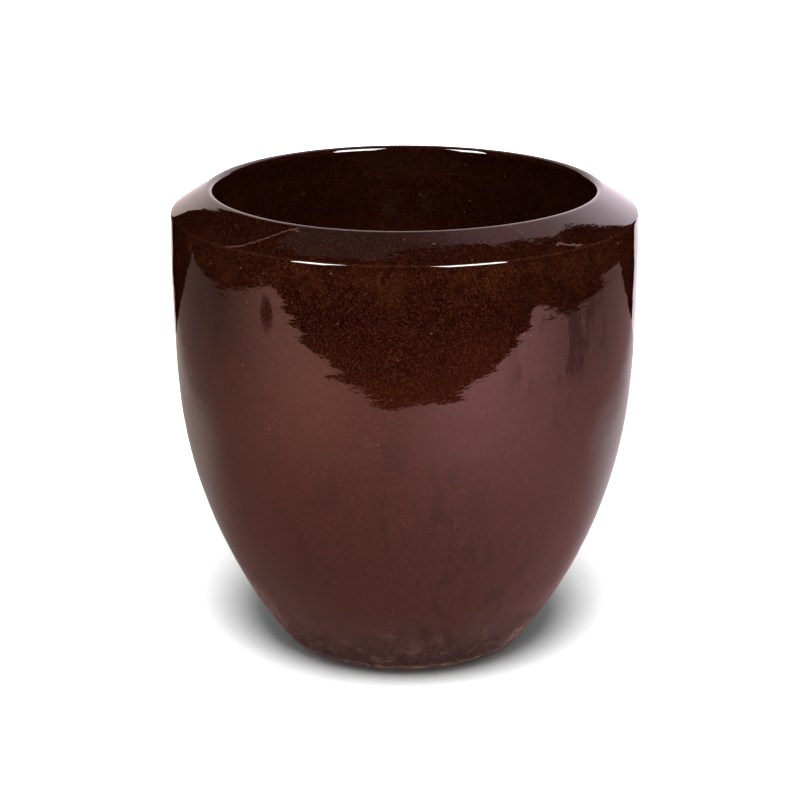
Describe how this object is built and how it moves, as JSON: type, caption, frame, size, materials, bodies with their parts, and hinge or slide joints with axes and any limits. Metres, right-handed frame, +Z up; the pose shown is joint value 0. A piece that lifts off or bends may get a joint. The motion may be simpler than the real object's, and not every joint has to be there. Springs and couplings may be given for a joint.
{
  "type": "planter pot",
  "caption": "Large egg-shaped terracotta planter with a sharp shoulder, an inward sloping collar, a round lip and a glossy brown glaze, on a recessed foot ring.",
  "frame": {"origin": "on the floor, on the pot's axis, below the centre of the foot ring", "axes": "+Z up along the axis that the pot is turned about; X and Y are horizontal and alike"},
  "size_m": [0.4833, 0.4832, 0.492],
  "materials": {
    "terracotta": "matte",
    "brown_glaze": "gloss"
  },
  "bodies": {
    "root": {"foot_ring": "terracotta", "base_slab": "terracotta", "floor_seam_coil": "terracotta", "lower_wall": "terracotta", "wall_seam_coil": "terracotta", "upper_wall": "terracotta", "collar_seam_coil": "terracotta", "collar": "terracotta", "outer_glaze": "brown_glaze", "inner_glaze": "brown_glaze"}
  },
  "joints": []
}
